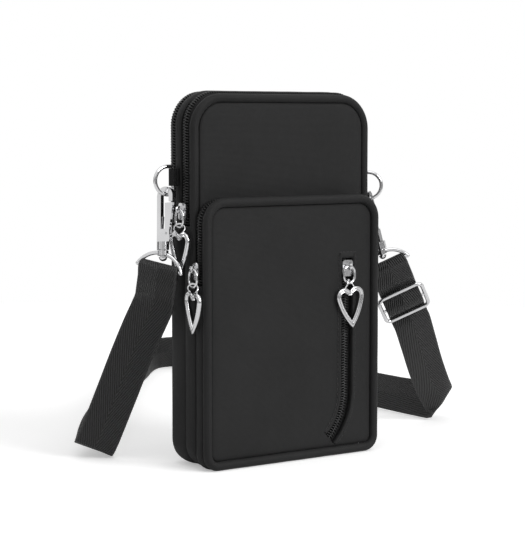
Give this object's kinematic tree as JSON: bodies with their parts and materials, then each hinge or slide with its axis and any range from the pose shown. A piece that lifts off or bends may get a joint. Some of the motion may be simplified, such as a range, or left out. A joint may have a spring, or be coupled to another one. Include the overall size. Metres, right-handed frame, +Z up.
{
  "type": "phone pouch",
  "caption": "Slim upright crossbody pouch with stacked zipped compartments, a front pocket with a slanting zip, heart zip pulls, side rings, snap hooks and an adjustable webbing strap",
  "frame": {"origin": "middle of the base, on the surface that the pouch stands on", "axes": "+X to the right as seen from the front, +Y to the back, +Z up"},
  "size_m": [0.2284, 0.313, 0.1788],
  "materials": {
    "nylon": "dense black nylon canvas",
    "binding": "rolled black nylon edge",
    "zip_tape": "black knitted zip tape",
    "zip_coil": "black spiral zip coil",
    "lining": "smooth black lining",
    "webbing": "black herringbone webbing",
    "chrome": "bright plated zinc alloy"
  },
  "bodies": {
    "root": {"back_panel": "nylon", "back_piping": "binding", "back_facing": "nylon", "rear_gusset": "nylon", "rear_zip_tape": "zip_tape", "rear_zip_coil": "zip_coil", "divider_panel": "nylon", "divider_binding": "binding", "middle_gusset": "nylon", "middle_zip_tape": "zip_tape", "middle_zip_coil": "zip_coil", "front_panel": "nylon", "front_piping": "binding", "pocket_gusset": "nylon", "pocket_zip_tape": "zip_tape", "pocket_zip_coil": "zip_coil", "pocket_panel": "nylon", "pocket_piping": "binding", "slant_zip_tape": "zip_tape", "slant_zip_coil": "zip_coil", "slant_pocket_bag": "lining", "left_tab": "webbing", "right_tab": "webbing", "left_strap_leg": "webbing", "strap_run": "webbing", "right_strap_leg": "webbing"},
    "left_ring": {"left_ring": "chrome"},
    "left_clip": {"left_strap_ring": "chrome", "left_strap_end": "webbing"},
    "left_hook": {"left_hook": "chrome", "left_gate_pin": "chrome", "left_gate_spring": "chrome"},
    "left_gate": {"left_gate": "chrome"},
    "right_ring": {"right_ring": "chrome"},
    "right_clip": {"right_strap_ring": "chrome", "right_strap_end": "webbing"},
    "right_hook": {"right_hook": "chrome", "right_gate_pin": "chrome", "right_gate_spring": "chrome"},
    "right_gate": {"right_gate": "chrome"},
    "rear_slider": {"rear_slider": "chrome"},
    "rear_bail": {"rear_bail": "chrome"},
    "rear_heart": {"rear_heart": "chrome"},
    "middle_slider": {"middle_slider": "chrome"},
    "middle_bail": {"middle_bail": "chrome"},
    "middle_heart": {"middle_heart": "chrome"},
    "pocket_slider": {"pocket_slider": "chrome"},
    "pocket_bail": {"pocket_bail": "chrome"},
    "pocket_heart": {"pocket_heart": "chrome"},
    "slant_slider": {"slant_slider": "chrome"},
    "slant_bail": {"slant_bail": "chrome"},
    "slant_heart": {"slant_heart": "chrome"},
    "strap_slide": {"strap_slide": "chrome"}
  },
  "joints": [
    {"name": "left_ring_turn", "type": "hinge", "parent": "root", "child": "left_ring", "pos_m": [-0.05471, 0.00595, 0.1365], "axis": [0, 0, 1], "range_deg": [-12, 0.5], "deforming": ["left_strap_leg"]},
    {"name": "left_clip_swing", "type": "hinge", "parent": "left_ring", "child": "left_clip", "pos_m": [-0.05851, 0.00595, 0.12993], "axis": [-0.9959, 0, 0.0909], "range_deg": [-6, 2], "deforming": ["left_strap_leg"]},
    {"name": "left_hook_swivel", "type": "hinge", "parent": "left_clip", "child": "left_hook", "pos_m": [-0.06188, 0.0036, 0.10258], "axis": [0.0996, 0.1422, 0.9848], "range_deg": [-20, 2.5]},
    {"name": "left_gate_open", "type": "hinge", "parent": "left_hook", "child": "left_gate", "pos_m": [-0.06002, 0.0025, 0.11189], "axis": [-0.9264, -0.3481, 0.144], "range_deg": [0, 7], "stiffness_Nm_per_rad": 0.05, "springref_deg": -5.73},
    {"name": "right_ring_turn", "type": "hinge", "parent": "root", "child": "right_ring", "pos_m": [0.05521, 0.002, 0.132], "axis": [0, 0, 1], "range_deg": [-10, 10], "deforming": ["right_strap_leg"]},
    {"name": "right_clip_swing", "type": "hinge", "parent": "right_ring", "child": "right_clip", "pos_m": [0.05816, -0.00039, 0.12543], "axis": [0.7739, -0.6267, 0.0909], "range_deg": [-4, 6], "deforming": ["right_strap_leg"]},
    {"name": "right_hook_swivel", "type": "hinge", "parent": "right_clip", "child": "right_hook", "pos_m": [0.06236, -0.00534, 0.09855], "axis": [-0.1982, 0.1388, 0.9703], "range_deg": [-20, 20]},
    {"name": "right_gate_open", "type": "hinge", "parent": "right_hook", "child": "right_gate", "pos_m": [0.06248, -0.00235, 0.10763], "axis": [0.6324, -0.7382, 0.2347], "range_deg": [0, 7], "stiffness_Nm_per_rad": 0.05, "springref_deg": -5.73},
    {"name": "middle_slider_slide", "type": "slide", "parent": "root", "child": "middle_slider", "axis": [0, 0, 1], "range_m": [0, 0.0075]},
    {"name": "middle_bail_lift", "type": "hinge", "parent": "middle_slider", "child": "middle_bail", "pos_m": [-0.0549, 0.00007, 0.123], "axis": [0, 1, 0], "range_deg": [0, 1]},
    {"name": "middle_heart_lift", "type": "hinge", "parent": "middle_bail", "child": "middle_heart", "pos_m": [-0.0549, 0.00007, 0.1148], "axis": [0, 1, 0], "range_deg": [0, 1]},
    {"name": "rear_slider_slide", "type": "slide", "parent": "root", "child": "rear_slider", "axis": [0, 0, 1], "range_m": [0, 0.012]},
    {"name": "rear_bail_lift", "type": "hinge", "parent": "rear_slider", "child": "rear_bail", "pos_m": [0.0549, 0.01082, 0.123], "axis": [0, -1, 0], "range_deg": [0, 110]},
    {"name": "rear_heart_lift", "type": "hinge", "parent": "rear_bail", "child": "rear_heart", "pos_m": [0.0549, 0.01082, 0.1148], "axis": [0, -1, 0], "range_deg": [0, 10]},
    {"name": "pocket_slider_slide", "type": "slide", "parent": "root", "child": "pocket_slider", "axis": [0, 0, 1], "range_m": [0, 0.007]},
    {"name": "pocket_bail_lift", "type": "hinge", "parent": "pocket_slider", "child": "pocket_bail", "pos_m": [-0.0542, -0.01035, 0.0955], "axis": [0, 1, 0], "range_deg": [0, 110]},
    {"name": "pocket_heart_lift", "type": "hinge", "parent": "pocket_bail", "child": "pocket_heart", "pos_m": [-0.0542, -0.01035, 0.0873], "axis": [0, 1, 0], "range_deg": [0, 10]},
    {"name": "slant_slider_slide", "type": "slide", "parent": "root", "child": "slant_slider", "axis": [0.007, 0, 1], "range_m": [-0.054, 0]},
    {"name": "slant_bail_lift", "type": "hinge", "parent": "slant_slider", "child": "slant_bail", "pos_m": [0.03197, -0.018, 0.0935], "axis": [-1, 0, 0.007], "range_deg": [0, 120]},
    {"name": "slant_heart_lift", "type": "hinge", "parent": "slant_bail", "child": "slant_heart", "pos_m": [0.03191, -0.018, 0.0853], "axis": [-1, 0, 0.007], "range_deg": [0, 10]},
    {"name": "strap_slide_shift", "type": "slide", "parent": "root", "child": "strap_slide", "axis": [0.6327, 0.3367, -0.6973], "range_m": [-0.002, 0.055], "deforming": ["right_strap_leg"]}
  ]
}
